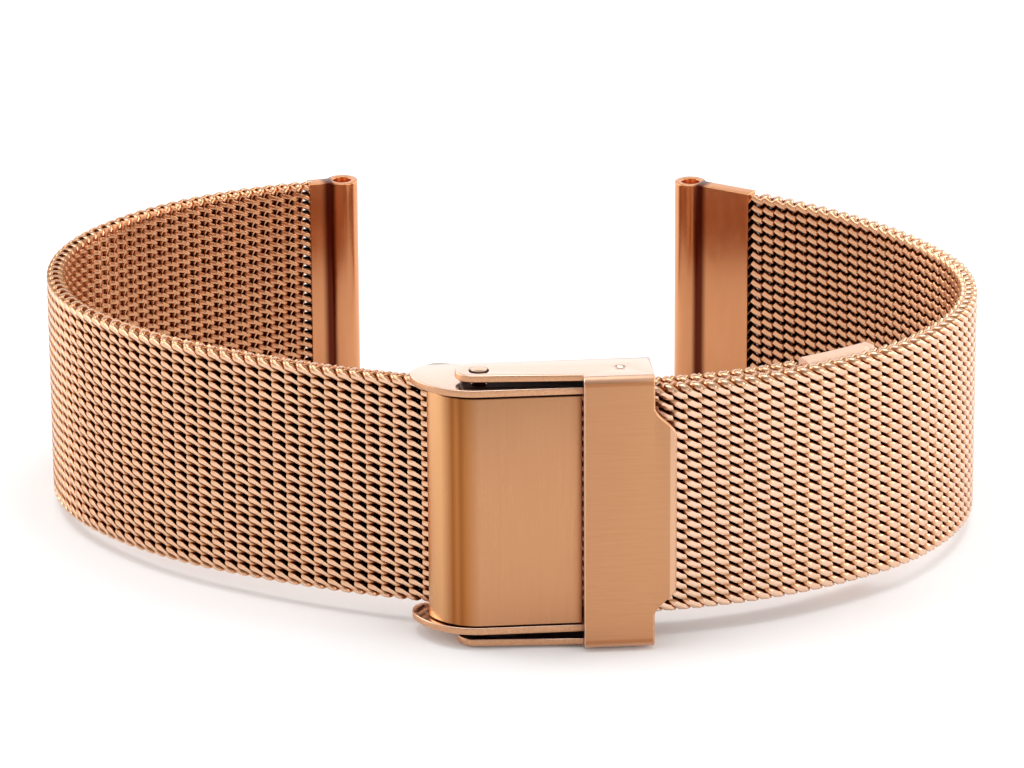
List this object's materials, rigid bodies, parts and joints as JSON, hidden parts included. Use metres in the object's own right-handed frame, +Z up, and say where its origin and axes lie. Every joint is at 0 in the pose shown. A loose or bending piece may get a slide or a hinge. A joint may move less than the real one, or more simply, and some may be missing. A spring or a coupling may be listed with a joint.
{
  "type": "mesh bracelet",
  "caption": "Open woven mesh bracelet strap with a fold-over sliding clasp, smooth tail tip and spring bar lug ends.",
  "frame": {"origin": "middle of the outer box in X and Y, at the lowest point in Z, on which the clasp's lower rivet stands", "axes": "+X along the clasp from the lid to the cover's finger tab, -Y out of the clasp's front, +Z up, across the width of the bands"},
  "size_m": [0.0798, 0.0604, 0.0244],
  "materials": {
    "mesh": "woven wire in rose-gold coloured steel",
    "polished": "polished rose-gold coloured steel",
    "satin": "satin rose-gold coloured steel",
    "brushed": "brushed rose-gold coloured steel"
  },
  "bodies": {
    "strap": {"long_strap": "mesh", "tail_tip": "polished", "short_strap": "mesh", "left_lug_end": "polished", "right_lug_end": "polished", "hook": "polished", "clasp_frame": "polished", "upper_rivet": "polished", "lower_rivet": "polished"},
    "cover": {"safety_cover": "brushed"},
    "lid": {"lid": "satin"}
  },
  "joints": [
    {"name": "cover_hinge", "type": "hinge", "parent": "strap", "child": "cover", "pos_m": [-0.00496, -0.0273, 0.01218], "axis": [0, 0, -1], "range_deg": [0, 100]},
    {"name": "lid_hinge", "type": "hinge", "parent": "strap", "child": "lid", "pos_m": [-0.00706, -0.027, 0.01218], "axis": [0, 0, -1], "range_deg": [0, 75]}
  ]
}
